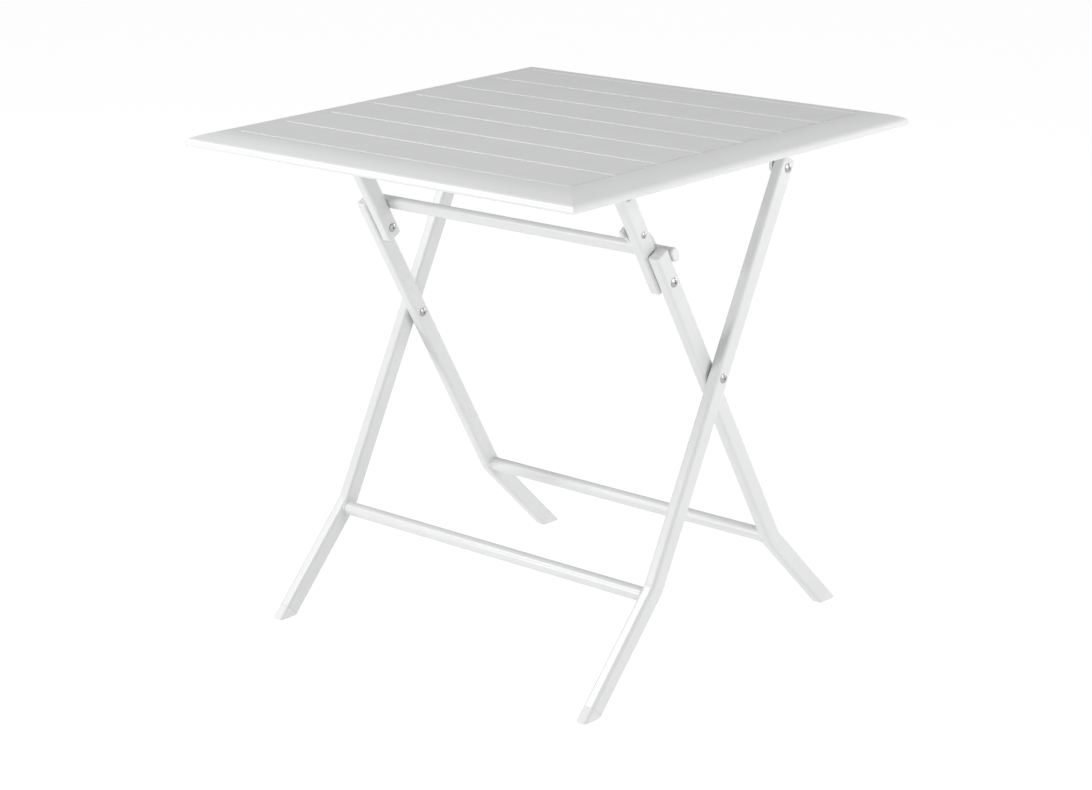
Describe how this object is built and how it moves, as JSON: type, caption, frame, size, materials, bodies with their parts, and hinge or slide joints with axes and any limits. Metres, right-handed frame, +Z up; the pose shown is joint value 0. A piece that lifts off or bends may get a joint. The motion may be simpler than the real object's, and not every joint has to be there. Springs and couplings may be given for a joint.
{
  "type": "folding garden table",
  "caption": "Folding square garden table with a slatted top in a mitred frame, crossed bent tube legs that fold up under the top, and a latch that hooks over a stop bar.",
  "frame": {"origin": "on the floor under the middle of the top", "axes": "+X along the slats to the side with the latch, +Y to the rear, across the slats and in the plane of the fold, +Z up"},
  "size_m": [0.7, 0.7, 0.7136],
  "materials": {
    "white_paint": "satin powder coat with a fine texture",
    "white_plastic": "moulded, matte",
    "latch_plastic": "moulded, satin",
    "steel": "zinc plated, turned",
    "bare_aluminium": "mill finish"
  },
  "bodies": {
    "outer_frame": {"crossing_screws": "steel", "crossing_sleeves": "steel", "crossing_washers": "steel", "outer_crossbar": "white_paint", "outer_foot_left": "white_plastic", "outer_foot_right": "white_plastic", "outer_leg_left": "white_paint", "outer_leg_right": "white_paint", "outer_top_plug_left": "white_plastic", "outer_top_plug_right": "white_plastic"},
    "tabletop": {"arm_bracket_left": "white_paint", "arm_bracket_right": "white_paint", "arm_pivot_bolts": "steel", "border_front": "white_paint", "border_left": "white_paint", "border_rear": "white_paint", "border_right": "white_paint", "bracket_screws": "steel", "corner_key_front_left": "bare_aluminium", "corner_key_front_right": "bare_aluminium", "corner_key_rear_left": "bare_aluminium", "corner_key_rear_right": "bare_aluminium", "key_screws": "steel", "leg_bracket_left": "white_paint", "leg_bracket_right": "white_paint", "leg_pivot_bolts": "steel", "pivot_nuts": "steel", "pivot_washers": "steel", "slat_1": "white_paint", "slat_2": "white_paint", "slat_3": "white_paint", "slat_4": "white_paint", "slat_5": "white_paint", "slat_6": "white_paint", "slat_7": "white_paint", "slat_rivets": "bare_aluminium", "slat_screws": "steel", "support_rail_left": "white_paint", "support_rail_right": "white_paint"},
    "inner_frame": {"elbow_bolts": "steel", "elbow_washers": "steel", "inner_crossbar": "white_paint", "inner_foot_left": "white_plastic", "inner_foot_right": "white_plastic", "inner_leg_left": "white_paint", "inner_leg_right": "white_paint", "inner_top_plug_left": "white_plastic", "inner_top_plug_right": "white_plastic", "stop_bar": "white_paint", "stop_bar_cap_left": "white_plastic", "stop_bar_cap_right": "white_plastic"},
    "left_arm": {"arm_left": "white_paint", "arm_left_plugs": "white_plastic", "elbow_sleeve_left": "steel"},
    "right_arm": {"arm_right": "white_paint", "arm_right_plugs": "white_plastic", "elbow_sleeve_right": "steel", "latch_pin": "steel"},
    "latch": {"latch": "latch_plastic"}
  },
  "joints": [
    {"name": "top_tilt", "type": "hinge", "parent": "outer_frame", "child": "tabletop", "pos_m": [0, 0.14451, 0.6624], "axis": [1, 0, 0], "range_deg": [0, 43.57]},
    {"name": "leg_fold", "type": "hinge", "parent": "outer_frame", "child": "inner_frame", "pos_m": [0, 0.0055, 0.40096], "axis": [-1, 0, 0], "range_deg": [0, 42]},
    {"name": "left_arm_swing", "type": "hinge", "parent": "tabletop", "child": "left_arm", "pos_m": [0, -0.13742, 0.6675], "axis": [1, 0, 0], "range_deg": [0, 57.44]},
    {"name": "right_arm_swing", "type": "hinge", "parent": "tabletop", "child": "right_arm", "pos_m": [0, -0.13742, 0.6675], "axis": [1, 0, 0], "range_deg": [0, 57.44]},
    {"name": "latch_turn", "type": "hinge", "parent": "right_arm", "child": "latch", "pos_m": [0.2354, -0.10744, 0.61159], "axis": [1, 0, 0], "range_deg": [0, 248]}
  ],
  "couplings": [
    {"joint": "leg_fold", "follows": "top_tilt", "ratio": 0.9639},
    {"joint": "left_arm_swing", "follows": "top_tilt", "ratio": 1.3183},
    {"joint": "right_arm_swing", "follows": "top_tilt", "ratio": 1.3183},
    {"joint": "latch_turn", "follows": "top_tilt", "ratio": 5.68}
  ]
}
